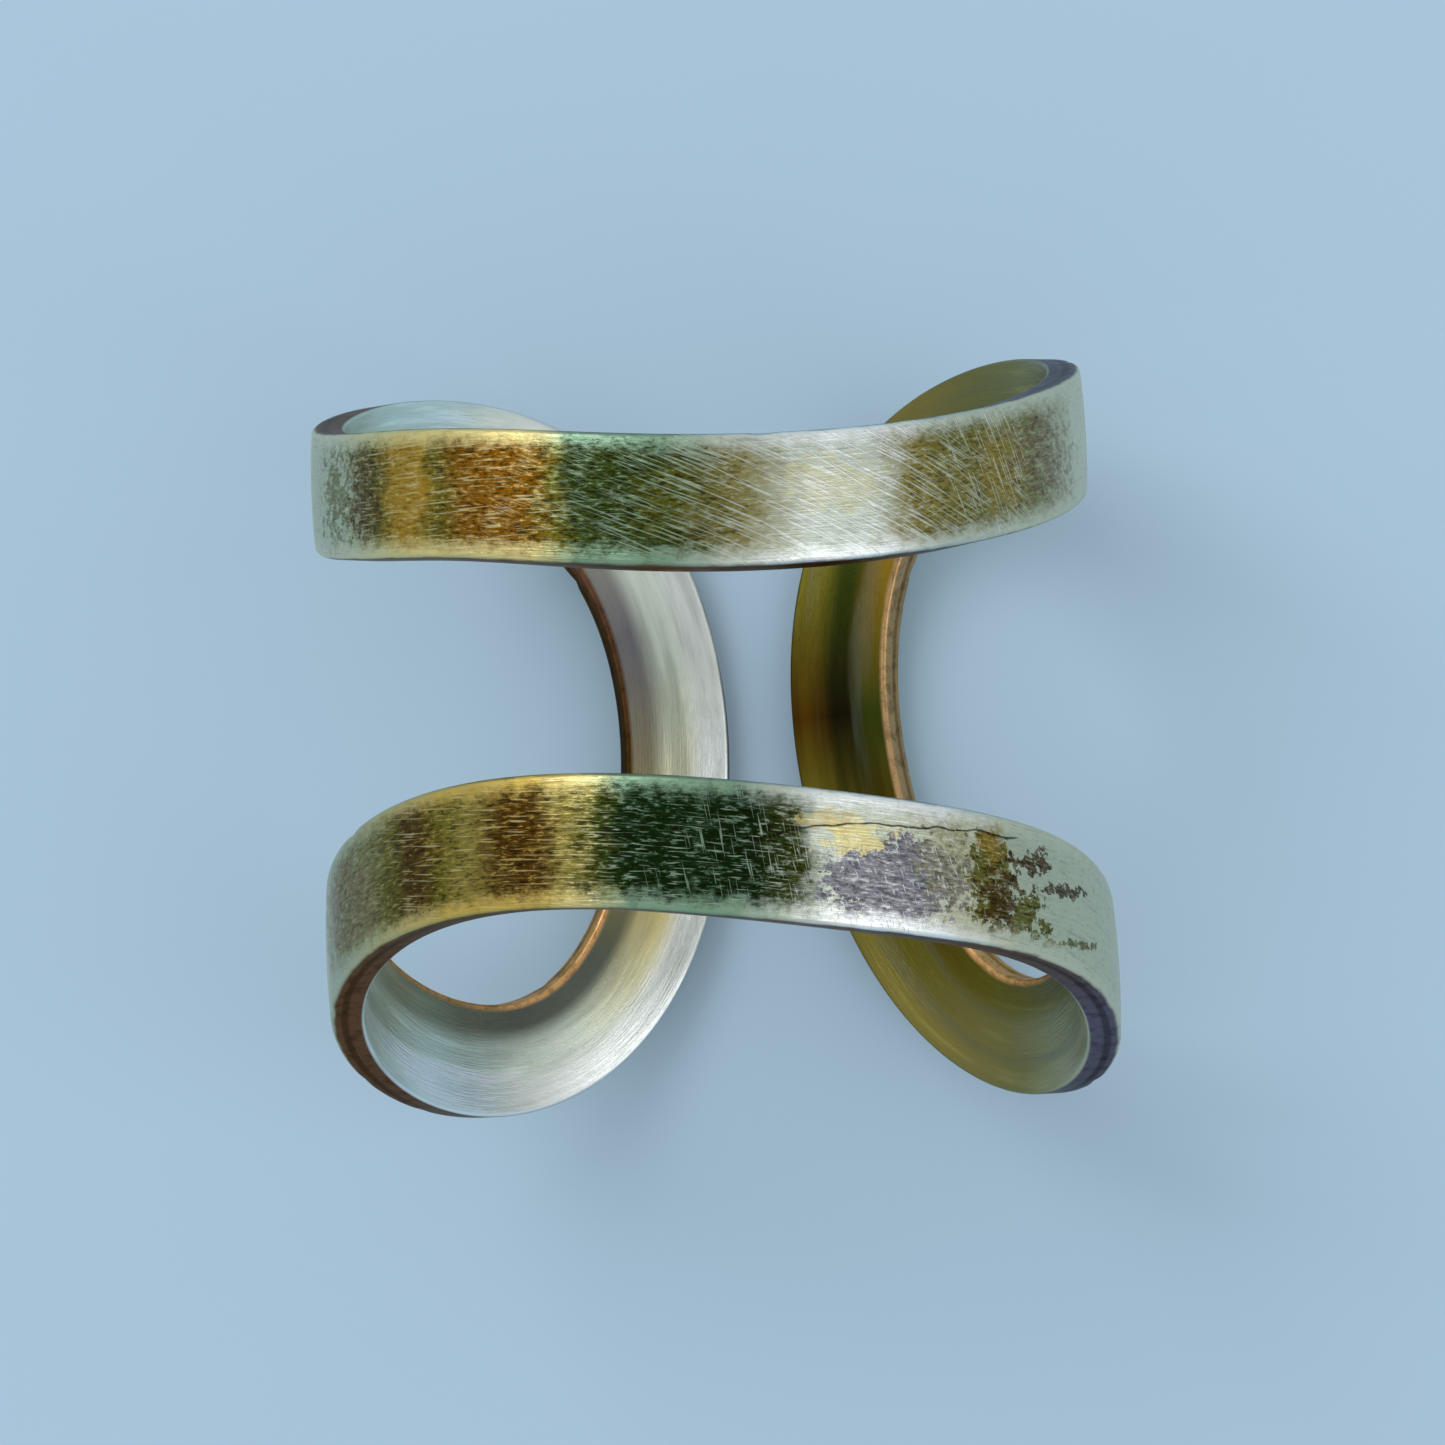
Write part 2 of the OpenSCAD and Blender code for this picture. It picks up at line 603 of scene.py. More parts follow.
    # The three runs against the finger are partly film and partly painted reflections of the loop's inside
    # and of the board.
    finger_outer: tuple[Tone, ...] = tones(
        (0, Tarnish.BROWN),
        (8, Tarnish.OLIVE),
        (35, Tarnish.KHAKI),
        (90, Tarnish.KHAKI),
        (140, Tarnish.MINT),
        (165, Tarnish.RUBBED_WHITE_AND_HIGHLIGHT),
        (215, Tarnish.RUBBED_WHITE_AND_HIGHLIGHT),
        (235, Tarnish.MINT),
        (270, Tarnish.KHAKI),
        (310, Tarnish.PALE_SILVER),
        (328, Tarnish.KHAKI),
        (342, Tarnish.MOSS),
        (354, Tarnish.OLIVE),
        (360, Tarnish.BROWN),
    )
    finger_middle: tuple[Tone, ...] = tones(
        (0, Tarnish.BLACK),
        (12, Tarnish.DARK_OLIVE),
        (35, Tarnish.KHAKI),
        (90, Tarnish.KHAKI),
        (140, Tarnish.MINT),
        (172, Tarnish.MINT),
        (188, Tarnish.CREAM),
        (200, Tarnish.MINT),
        (215, Tarnish.MINT),
        (240, Tarnish.GREY_SILVER),
        (270, Tarnish.KHAKI),
        (310, Tarnish.GREY_SILVER),
        (330, Tarnish.KHAKI),
        (344, Tarnish.OLIVE),
        (360, Tarnish.BLACK),
    )
    finger_inner: tuple[Tone, ...] = tones(
        (0, Tarnish.DARK_OLIVE),
        (14, Tarnish.GOLD),
        (35, Tarnish.KHAKI),
        (90, Tarnish.KHAKI),
        (140, Tarnish.PALE_SILVER),
        (170, Tarnish.VIOLET_GREY),
        (184, Tarnish.MOSS),
        (194, Tarnish.SLATE),
        (206, Tarnish.SLATE),
        (222, Tarnish.GREY_SILVER),
        (270, Tarnish.KHAKI),
        (310, Tarnish.KHAKI),
        (335, Tarnish.OLIVE),
        (350, Tarnish.BROWN),
        (360, Tarnish.DARK_OLIVE),
    )
    inner_edge: tuple[Tone, ...] = tones(
        (0, Tarnish.TAN),
        (18, Tarnish.TAN),
        (40, Tarnish.UMBER),
        (160, Tarnish.UMBER),
        (180, Tarnish.BROWN),
        # The orange from here to 222 is a painted glint.
        (192, Tarnish.ORANGE_GLINT),
        (222, Tarnish.ORANGE_GLINT),
        (240, Tarnish.DUSK),
        (255, Tarnish.UMBER),
        (290, Tarnish.UMBER),
        (312, Tarnish.DUSK),
        # The orange from here to 340 is a painted glint.
        (326, Tarnish.ORANGE_GLINT),
        (340, Tarnish.ORANGE_GLINT),
        (352, Tarnish.TAN),
        (360, Tarnish.TAN),
    )
    outer_edge: tuple[Tone, ...] = tones(
        (0, Tarnish.DUSK),
        (60, Tarnish.DUSK),
        (90, Tarnish.UMBER),
        (285, Tarnish.UMBER),
        (305, Tarnish.DUSK),
        (360, Tarnish.DUSK),
    )
    blooms: tuple[Bloom, ...] = (
        # On the upper bar, from -X to +X.
        Bloom(-8.9, 5.2, 0.8, 1.1, Tarnish.OLIVE, 0.75, 5.5, 0.3, 4.2),
        Bloom(-7.5, 5.0, 0.6, 1.4, Tarnish.BROWN, 0.7, 3.6, 0.4, 4.5),
        Bloom(-3.2, 4.6, 1.0, 1.3, Tarnish.AMBER, 0.7),
        Bloom(-0.6, 4.1, 1.2, 0.9, Tarnish.BOTTLE_GREEN, 0.35),
        Bloom(1.2, 3.8, 1.2, 0.8, Tarnish.OLIVE, 0.45),
        Bloom(4.4, 4.1, 1.0, 0.6, Tarnish.CREAM, 0.35, 2.0),
        Bloom(7.2, 4.2, 0.9, 1.0, Tarnish.MOSS, 0.8, 1.2),
        Bloom(9.2, 4.7, 0.8, 0.9, Tarnish.GOLD, 0.5, 2.0),
        Bloom(11.0, 5.3, 1.1, 1.0, Tarnish.UMBER, 0.5, 4.5, 0.3, 3.5),
        # On the lower bar: three toward -X, then the grey patch and the lighter spots on it.
        Bloom(-10.0, -4.6, 1.8, 1.2, Tarnish.UMBER, 0.45, 4.0, 0.5, 3.0),
        Bloom(-5.9, -4.0, 0.6, 1.1, Tarnish.BROWN, 0.5, 2.0),
        Bloom(-3.1, -3.8, 0.7, 1.0, Tarnish.BROWN, 0.6, 1.4),
        Bloom(5.4, -5.05, 1.75, 1.0, Tarnish.VIOLET_GREY, 0.97, 1.3, 0.06, 5.0),
        Bloom(6.7, -4.7, 0.7, 0.9, Tarnish.KHAKI, 0.5, 2.4, 0.2, 5.0),
        Bloom(4.4, -4.0, 0.75, 0.38, Tarnish.CREAM, 0.8, 2.2, 0.15, 2.2),
        Bloom(3.9, -3.6, 0.5, 0.25, Tarnish.STRAW, 0.5, 3.0, 0.2, 3.0),
        # Spots and streaks past that patch, where the bar turns down the side.
        Bloom(7.9, -4.9, 0.6, 1.2, Tarnish.OLIVE, 0.97, 2.2, 0.06, 3.0),
        Bloom(8.0, -4.1, 0.35, 0.5, Tarnish.GOLD, 0.6, 2.6, 0.08, 3.5),
        Bloom(8.2, -5.5, 0.55, 0.7, Tarnish.BROWN, 0.85, 2.6, 0.06, 3.5),
        Bloom(9.1, -5.9, 0.5, 0.4, Tarnish.OLIVE, 0.97, 3.0, 0.05, 2.6),
        Bloom(9.3, -4.6, 0.7, 0.22, Tarnish.BROWN, 0.9, 3.4, 0.06, 3.2),
        Bloom(10.6, -5.25, 1.0, 0.12, Tarnish.BROWN, 0.9, 3.2, 0.06, 3.0),
        Bloom(10.9, -6.5, 1.0, 0.1, Tarnish.OLIVE, 0.85, 3.2, 0.06, 3.0),
    )
    # Scratches are drawn a little coarser than real ones, so that they show.
    scratches: tuple[Scratches, ...] = (
        Scratches(4.6, 4.0, 6.4, 2.2, 25.0, 1.3, 0.05, 0.57),
        Scratches(4.0, 4.0, 6.5, 2.2, 31.0, 3.4, 0.055, 0.66),
        Scratches(8.6, 4.6, 1.6, 1.7, 66.0, 1.2, 0.055, 0.62),
        Scratches(-4.2, 0.0, 3.8, 9.0, 4.0, 0.8, 0.05, 0.62),
        Scratches(1.9, -4.2, 1.9, 1.5, 82.0, 0.9, 0.035, 0.67),
        Scratches(0.6, -4.5, 3.4, 1.8, 8.0, 0.45, 0.045, 0.66),
        Scratches(5.6, -5.0, 3.0, 1.6, 75.0, 0.3, 0.045, 0.7),
    )
    crack: Crack = Crack(5.1, -4.0, 3.9, 0.022, 0.018)
    wander: tuple[float, float, float] = (1.7, 1.1, 0.0)
    flecks_per_mm: tuple[float, float, float] = (4.0, 4.0, 13.0)
    # Real rubbed lines are finer than this. They are drawn as coarse as they need to show.
    rub_length: float = 1.2
    rub_gap: float = 0.06
    streak_length: float = 9.0
    streak_gap: float = 0.9
    saw_line_height: float = 0.5
    fleck_cover: float = 0.42
    pit_cover: float = 0.15
    film_pit_cover: float = 0.6
    light_line_cover: float = 0.25
    dark_line_cover: float = 0.3
    scratch_cover: float = 0.45
    scratch_gleam: float = 0.14
    streak_cover: float = 0.35
    blotch_cover: float = 0.4
    saw_line_cover: float = 0.45
    edge_gleam: float = 0.45
    wear_and_highlight_cover: float = 0.85
    base_roughness: float = 0.24
    film_roughness: float = 0.16
    thick_roughness: float = 0.12
    line_depth: float = 0.02
    scratch_depth: float = 0.6
    pit_depth: float = 0.9

    def make(self) -> bpy.types.Material:
        """Builds the material, on the strip's own coordinates in millimetres.

        Returns:
            The new material.
        """
        material = bpy.data.materials.new("tarnished_silver_with_painted_sheen")
        material.use_nodes = True
        tree = material.node_tree
        tree.nodes.clear()
        SilverNodes(tree, self).connect()
        return material


class SilverNodes:
    """Draws the silver's node tree, one layer at a time.

    The strip's own coordinates are in millimetres, so the Scale of a noise on them is how many
    blotches it has to the millimetre.
    """

    def __init__(self, tree: Tree, finish: TarnishedSilverWithSheen) -> None:
        """Reads the strip's own coordinates and draws what several layers share.

        Args:
            tree: The material's empty node tree.
            finish: The films and marks, and where they lie.
        """
        self.add = partial(add_node, tree)
        self.finish = finish
        self.flat = self.add(ATTRIBUTE, {"attribute_name": "flat"}, out="Vector")
        self.hoop = self.add(ATTRIBUTE, {"attribute_name": "hoop"}, out="Vector")
        self.turn = self.add(ATTRIBUTE, {"attribute_name": "turn"}, out="Fac")
        self.along_finger = self.add(SPLIT, {}, {"Vector": self.flat}, out="Y")
        self.height = self.along_finger.node.outputs["Z"]
        self.across = self.add(SPLIT, {}, {"Vector": self.hoop}, out="Z")
        self.off_middle = self.add(MATH, SIZE, {0: self.across})
        billows = {"Vector": self.flat, "Scale": 1.2, "Detail": 6.0, "Roughness": 0.68}
        cloud = self.add(NOISE, {}, billows, out="Color")
        centred = self.add(VECTOR, MINUS, {0: cloud, 1: (0.5, 0.5, 0.5)})
        drift = self.add(VECTOR, TIMES, {0: centred, 1: finish.wander})
        self.wandered = self.add(VECTOR, PLUS, {0: self.flat, 1: drift})
        fleck_place = self.add(VECTOR, TIMES, {0: self.hoop, 1: finish.flecks_per_mm})
        flecks = {"Vector": fleck_place, "Scale": 1.0, "Detail": 3.0, "Roughness": 0.7}
        self.speckle = self.add(NOISE, {}, flecks)
        self.rim = self.both_bars(finish.lower_rim, finish.upper_rim)
        outer = {"Value": self.height, "From Min": OUTER_STARTS, "From Max": OUTER_WHOLE}
        self.on_outer = self.add(RANGE, SMOOTH, outer)
        finger = {"Value": self.height, "From Min": FINGER_STARTS, "From Max": FINGER_WHOLE}
        self.on_finger_side = self.add(RANGE, SMOOTH, finger)

    def both_bars(self, lower: Sequence[Tone], upper: Sequence[Tone]) -> Socket:
        """Colours the two bars by place, each with its own run of tones.

        Args:
            lower: The tones of the bar on the -Y side.
            upper: The tones of the bar on the +Y side.

        Returns:
            The colour at that place.
        """
        place = self.add(SPLIT, {}, {"Vector": self.wandered}, out="X")
        between = {"Value": self.along_finger, "From Min": -BARS_BLEND, "From Max": BARS_BLEND}
        on_upper = self.add(RANGE, SMOOTH, between)
        low_film_and_sheen = self.film(place, lower, -FILM_AND_SHEEN_REACH, FILM_AND_SHEEN_REACH)
        high_film_and_sheen = self.film(place, upper, -FILM_AND_SHEEN_REACH, FILM_AND_SHEEN_REACH)
        return self.lay(low_film_and_sheen, high_film_and_sheen, on_upper)

    def film(self, place: Socket, run: Sequence[Tone], low: float, high: float) -> Socket:
        """Colours the metal by place.

        Args:
            place: Where the point is, in the run's own units.
            run: The tones in order.
            low: Place where the run starts.
            high: Place where it ends.

        Returns:
            The colour at that place.
        """
        share = self.add(RANGE, {}, {"Value": place, "From Min": low, "From Max": high})
        colour = self.add("ShaderNodeValToRGB", {}, {"Fac": share})
        ramp = colour.node.color_ramp
        while len(ramp.elements) < len(run):
            ramp.elements.new(1.0)
        for element, tone in zip(ramp.elements, run):
            element.position = (tone.at - low) / (high - low)
            element.color = linear_colour(tone.tarnish.value)
        return colour

    def lay(
        self,
        under: Socket,
        over: Socket | Tarnish,
        mask: Socket | float,
        share: float = 1.0,
        way: str = "MIX",
    ) -> Socket:
        """Lays one colour over what is there.

        Args:
            under: The colour so far.
            over: The colour that goes on, or the tarnish that has it.
            mask: Where it goes, from 0 to 1.
            share: How much of it goes on where the mask is 1.
            way: How the two colours combine.

        Returns:
            The new colour.
        """
        part = self.add(MATH, TIMES, {0: mask, 1: share})
        colour = linear_colour(over.value) if isinstance(over, Tarnish) else over
        inputs = {MIX_FACTOR: part, MIX_UNDER: under, MIX_OVER: colour}
        return self.add(MIX, {"data_type": "RGBA", "blend_type": way}, inputs, out=MIX_RESULT)

    def streaks(self, length: float, gap: float) -> Socket:
        """Gives a cloudy pattern drawn out along the strip.

        Args:
            length: Length of a streak, in millimetres.
            gap: Distance from one streak to the next.

        Returns:
            A value round 0.5.
        """
        drawn_out = self.add(VECTOR, TIMES, {0: self.hoop, 1: (1 / length, 1 / length, 1 / gap)})
        return self.add(NOISE, {}, {"Vector": drawn_out, "Scale": 1.0, "Detail": 3.0, "Roughness": 0.6})

    def far_from(self, spot: Bloom | Scratches) -> Socket:
        """Measures how far the point is from the middle of a spot.

        Args:
            spot: The patch of tarnish or the set of scratches.

        Returns:
            The distance as a share of the spot's half-sizes, so 1 is on its oval border.
        """
        middle = (spot.round_ring, spot.along_finger, 0.0)
        shape = (1 / spot.half_length, 1 / spot.half_width, 0.0)
        centred = self.add(VECTOR, MINUS, {0: self.flat, 1: middle})
        sized = self.add(VECTOR, TIMES, {0: centred, 1: shape})
        return self.add(VECTOR, {"operation": "LENGTH"}, {0: sized}, out="Value")

    def cuts(self, scratches: Scratches) -> Socket:
        """Draws a set of straight scratches.

        Args:
            scratches: Which way they run and how long and close they are.

        Returns:
            1 in a scratch and 0 beside it.
        """
        turned = self.add(
            "ShaderNodeVectorRotate",
            {"rotation_type": "Z_AXIS"},
            {"Vector": self.flat, "Angle": math.radians(scratches.angle)},
        )
        scale = (1 / scratches.length, 1 / scratches.gap, 0.0)
        drawn_out = self.add(VECTOR, TIMES, {0: turned, 1: scale})
        # Each set reads its own part of the noise, so no two sets fall together.
        placed = self.add(VECTOR, PLUS, {0: drawn_out, 1: (scratches.angle, 0.0, scratches.angle)})
        peaks = self.add(NOISE, {}, {"Vector": placed, "Scale": 1.0, "Detail": 0.0})
        whole = scratches.rarity + scratches.softness
        sharp = {"Value": peaks, "From Min": scratches.rarity, "From Max": whole}
        line = self.add(RANGE, SMOOTH, sharp)
        # They thin out raggedly toward the border of the set.
        patch = self.add(NOISE, {}, {"Vector": self.flat, "Scale": 0.9, "Detail": 2.0})
        spread = self.add(MATH, TIMES_PLUS, {0: patch, 1: 2.0, 2: self.far_from(scratches)})
        gathered = self.add(RANGE, SMOOTH, {"Value": spread, "From Min": 2.2, "From Max": 1.5})
        return self.add(MATH, TIMES, {0: line, 1: gathered})

    def all_cuts(self) -> Socket:
        """Draws every set of scratches.

        Returns:
            1 in a scratch and 0 beside it.
        """
        cut = None
        for scratches in self.finish.scratches:
            one_set = self.cuts(scratches)
            cut = one_set if cut is None else self.add(MATH, MOST, {0: cut, 1: one_set})
        return cut

    def bloom(self, under: Socket, bloom: Bloom) -> Socket:
        """Lays one patch of tarnish over the colour so far.

        Args:
            under: The colour so far.
            bloom: The patch.

        Returns:
            The new colour.
        """
        blotches = {"Vector": self.flat, "Scale": bloom.grain, "Detail": 5.0, "Roughness": 0.72}
        grain = self.add(NOISE, {}, blotches)
        eaten = self.add(MATH, TIMES_PLUS, {0: grain, 1: -2 * bloom.ragged, 2: bloom.ragged + 1})
        depth = self.add(MATH, MINUS, {0: eaten, 1: self.far_from(bloom)})
        border = {"Value": depth, "From Min": -bloom.softness, "From Max": bloom.softness}
        mask = self.add(RANGE, SMOOTH, border)
        return self.lay(under, bloom.tarnish, mask, bloom.cover)

    def outer_face(self) -> Socket:
        """Colours the outer face: the two bars, the patches on them and their rims.

        Returns:
            The colour of that face.
        """
        finish = self.finish
        middle = self.both_bars(finish.lower_bar, finish.upper_bar)
        for bloom in finish.blooms:
            middle = self.bloom(middle, bloom)
        flecks = self.add(RANGE, SMOOTH, {"Value": self.speckle, "From Min": 0.46, "From Max": 0.34})
        middle = self.lay(middle, self.rim, flecks, finish.fleck_cover)
        # The rim, which is partly a painted highlight along the bars' edges, is broken up, and about
        # half a millimetre wide.
        broken = self.add(NOISE, {}, {"Vector": self.hoop, "Scale": 3.0, "Detail": 5.0, "Roughness": 0.75})
        reach = self.add(MATH, TIMES_PLUS, {0: broken, 1: 0.9, 2: self.off_middle})
        at_rim = self.add(RANGE, SMOOTH, {"Value": reach, "From Min": 1.4, "From Max": 1.95})
        return self.lay(middle, self.rim, at_rim)

    def hairline(self, under: Socket) -> Socket:
        """Draws the one dark, hair-thin crack in the film.

        Args:
            under: The colour so far.

        Returns:
            The new colour.
        """
        crack = self.finish.crack
        place = self.add(SPLIT, {}, {"Vector": self.flat}, out="X")
        from_middle = self.add(MATH, MINUS, {0: place, 1: crack.round_ring})
        squared = self.add(MATH, TIMES, {0: from_middle, 1: from_middle})
        bowed = self.add(MATH, TIMES_PLUS, {0: squared, 1: -crack.bow, 2: crack.along_finger})
        sway = self.add(NOISE, {}, {"Vector": self.flat, "Scale": 0.9, "Detail": 3.0, "Roughness": 0.4})
        swayed = self.add(MATH, TIMES_PLUS, {0: sway, 1: crack.sway, 2: bowed})
        aside = self.add(MATH, SIZE, {0: self.add(MATH, MINUS, {0: self.along_finger, 1: swayed})})
        sharp = {"Value": aside, "From Min": 2 * crack.width, "From Max": crack.width / 2}
        line = self.add(RANGE, SMOOTH, sharp)
        length = self.add(MATH, SIZE, {0: from_middle})
        full_until = crack.half_length - crack.taper
        ends = {"Value": length, "From Min": crack.half_length, "From Max": full_until}
        mask = self.add(MATH, TIMES, {0: line, 1: self.add(RANGE, SMOOTH, ends)})
        return self.lay(under, Tarnish.BLACK, mask, crack.darkness)

    def finger_face(self) -> Socket:
        """Colours the face against the finger, with soft streaks along the strip.

        Returns:
            The colour of that face.
        """
        finish = self.finish
        colour = self.film(self.turn, finish.finger_middle, 0, 360)
        outward = {"Value": self.across, "From Min": -SIDE_STARTS, "From Max": -SIDE_WHOLE}
        outside = self.add(RANGE, SMOOTH, outward)
        colour = self.lay(colour, self.film(self.turn, finish.finger_outer, 0, 360), outside)
        inward = {"Value": self.across, "From Min": SIDE_STARTS, "From Max": SIDE_WHOLE}
        inside = self.add(RANGE, SMOOTH, inward)
        colour = self.lay(colour, self.film(self.turn, finish.finger_inner, 0, 360), inside)
        long_streaks = self.streaks(finish.streak_length, finish.streak_gap)
        shadow = self.add(RANGE, SMOOTH, {"Value": long_streaks, "From Min": 0.48, "From Max": 0.66})
        colour = self.lay(colour, Tarnish.SLATE, shadow, finish.streak_cover)
        gleam = self.add(RANGE, SMOOTH, {"Value": long_streaks, "From Min": 0.46, "From Max": 0.32})
        return self.lay(colour, colour, gleam, finish.streak_cover, "ADD")

    def sawn_edges(self) -> Socket:
        """Colours the two sawn edges, which nothing rubs clean.

        Returns:
            The colour of those edges.
        """
        finish = self.finish
        inward = {"Value": self.across, "From Min": -EDGES_BLEND, "From Max": EDGES_BLEND}
        inside = self.add(RANGE, SMOOTH, inward)
        inner = self.film(self.turn, finish.inner_edge, 0, 360)
        outer = self.film(self.turn, finish.outer_edge, 0, 360)
        colour = self.lay(outer, inner, inside)
        cloud = self.add(NOISE, {}, {"Vector": self.flat, "Scale": 2.2, "Detail": 6.0, "Roughness": 0.75})
        blotch = self.add(RANGE, SMOOTH, {"Value": cloud, "From Min": 0.46, "From Max": 0.62})
        colour = self.lay(colour, Tarnish.BLACK, blotch, finish.blotch_cover)
        above_line = self.add(MATH, MINUS, {0: self.height, 1: finish.saw_line_height})
        off_line = self.add(MATH, SIZE, {0: above_line})
        saw_line = self.add(RANGE, SMOOTH, {"Value": off_line, "From Min": 0.13, "From Max": 0.05})
        return self.lay(colour, Tarnish.BLACK, saw_line, finish.saw_line_cover)

    def rub(self, under: Socket, rubbed: Socket) -> Socket:
        """Lays the fine light and dark lines of rubbing over the colour so far.

        Args:
            under: The colour so far.
            rubbed: The pattern of the lines.

        Returns:
            The new colour.
        """
        light_lines = self.add(RANGE, SMOOTH, {"Value": rubbed, "From Min": 0.56, "From Max": 0.74})
        colour = self.lay(under, self.rim, light_lines, self.finish.light_line_cover)
        dark_lines = self.add(RANGE, SMOOTH, {"Value": rubbed, "From Min": 0.44, "From Max": 0.26})
        return self.lay(colour, Tarnish.BLACK, dark_lines, self.finish.dark_line_cover)

    def join_faces(self, outer: Socket) -> tuple[Socket, Socket]:
        """Joins the colours of the outer face, the sawn edges and the face against the finger.

        Args:
            outer: The finished colour of the outer face.

        Returns:
            The colour of the whole strip, and the colour it takes at a glancing angle.
        """
        edges = self.sawn_edges()
        # The inner edge's colour, with its painted orange glints, is carried a little way in over the
        # face against the finger.
        inward = {"Value": self.across, "From Min": EDGE_AND_GLINT_WHOLE, "From Max": EDGE_AND_GLINT_STARTS}
        edge_and_glint = self.add(RANGE, SMOOTH, inward)
        on_finger = self.add(MATH, TIMES, {0: self.on_finger_side, 1: edge_and_glint})
        colour = self.lay(self.lay(edges, outer, self.on_outer), self.finger_face(), on_finger)
        # Clean metal glances white. The dull film on the sawn edges keeps more of its colour.
        bare = self.add(MATH, MOST, {0: self.on_outer, 1: on_finger})
        dulled = self.lay(edges, Tarnish.RUBBED_WHITE_AND_HIGHLIGHT, 1.0, self.finish.edge_gleam)
        return colour, self.lay(dulled, Tarnish.RUBBED_WHITE_AND_HIGHLIGHT, bare)

    def worn_and_highlit_corners(self) -> Socket:
        """Finds where wear has rubbed the film off the outer corners, where a highlight is also painted.

        Returns:
            1 on bare, highlit metal and 0 elsewhere.
        """
        aside = {"Value": self.off_middle, "From Min": CORNER_STARTS, "From Max": CORNER_WHOLE}
        at_corner = self.add(RANGE, SMOOTH, aside)
        upward = {"Value": self.height, "From Min": WEAR_AND_HIGHLIGHT_STARTS, "From Max": WEAR_AND_HIGHLIGHT_WHOLE}
        high_up = self.add(RANGE, SMOOTH, upward)
        corner = self.add(MATH, TIMES, {0: at_corner, 1: high_up})
        patchy = self.add(NOISE, {}, {"Vector": self.hoop, "Scale": 1.5, "Detail": 4.0})
        rubbed_off = self.add(RANGE, SMOOTH, {"Value": patchy, "From Min": 0.38, "From Max": 0.56})
        return self.add(MATH, TIMES, {0: corner, 1: rubbed_off})

    def relief(self, rubbed: Socket, cut: Socket, pitted: Socket) -> Socket:
        """Sinks the rubbed lines, the scratches and the pits into the surface.

        Args:
            rubbed: The pattern of the rubbed lines.
            cut: Where the scratches are.
            pitted: Where the pits are.

        Returns:
            The surface's new direction.
        """
        on_outer_cut = self.add(MATH, TIMES, {0: cut, 1: self.on_outer})
        finish = self.finish
        lowered = self.add(MATH, TIMES_PLUS, {0: on_outer_cut, 1: -finish.scratch_depth, 2: rubbed})
        heights = self.add(MATH, TIMES_PLUS, {0: pitted, 1: -finish.pit_depth, 2: lowered})
        bumps = {"Strength": 0.7, "Distance": finish.line_depth * MM, "Height": heights}
        return self.add("ShaderNodeBump", {}, bumps, out="Normal")

    def roughness(self, filmed: Socket) -> Socket:
        """Makes the metal rougher under the film, and most where the film is thick.

        Args:
            filmed: How thick the film is, from 0 to 1.

        Returns:
            The roughness.
        """
        finish = self.finish
        cloud = self.add(NOISE, {}, {"Vector": self.flat, "Scale": 1.3, "Detail": 4.0})
        clouded = {0: cloud, 1: finish.film_roughness, 2: finish.base_roughness}
        rough = self.add(MATH, TIMES_PLUS, clouded)
        return self.add(MATH, TIMES_PLUS, {0: filmed, 1: finish.thick_roughness, 2: rough})

    def connect(self) -> None:
        """Joins the layers and links them to the shader."""
        finish = self.finish
        outer = self.hairline(self.outer_face())
        # The darker the colour, the thicker the film is taken to be, also where the dark is a painted
        # reflection.
        brightness = self.add("ShaderNodeRGBToBW", {}, {"Color": outer})
        filmed = self.add(RANGE, SMOOTH, {"Value": brightness, "From Min": 0.4, "From Max": 0.08})

        pits = self.add(RANGE, SMOOTH, {"Value": self.speckle, "From Min": 0.53, "From Max": 0.63})
        in_film = {0: filmed, 1: finish.film_pit_cover, 2: finish.pit_cover}
        pit_share = self.add(MATH, TIMES_PLUS, in_film)
        pitted = self.add(MATH, TIMES, {0: pits, 1: pit_share})
        outer = self.lay(outer, Tarnish.BLACK, pitted)

        rubbed = self.streaks(finish.rub_length, finish.rub_gap)
        outer = self.rub(outer, rubbed)
        cut = self.all_cuts()
        outer = self.lay(outer, self.rim, cut, finish.scratch_cover)
        outer = self.lay(outer, Tarnish.BRIGHT_SILVER, cut, finish.scratch_gleam, "SCREEN")

        colour, glancing = self.join_faces(outer)
        # The worn corners take the rim's colour: partly bare metal, partly a painted highlight.
        colour = self.lay(colour, self.rim, self.worn_and_highlit_corners(), finish.wear_and_highlight_cover)
        normal = self.relief(rubbed, cut, pitted)
        rough = self.roughness(filmed)
        surface = {"Base Color": colour, "Metallic": 1.0, "Roughness": rough, "Normal": normal}
        surface["Specular Tint"] = glancing
        shader = self.add("ShaderNodeBsdfPrincipled", {}, surface)
        self.add("ShaderNodeOutputMaterial", {}, {"Surface": shader})


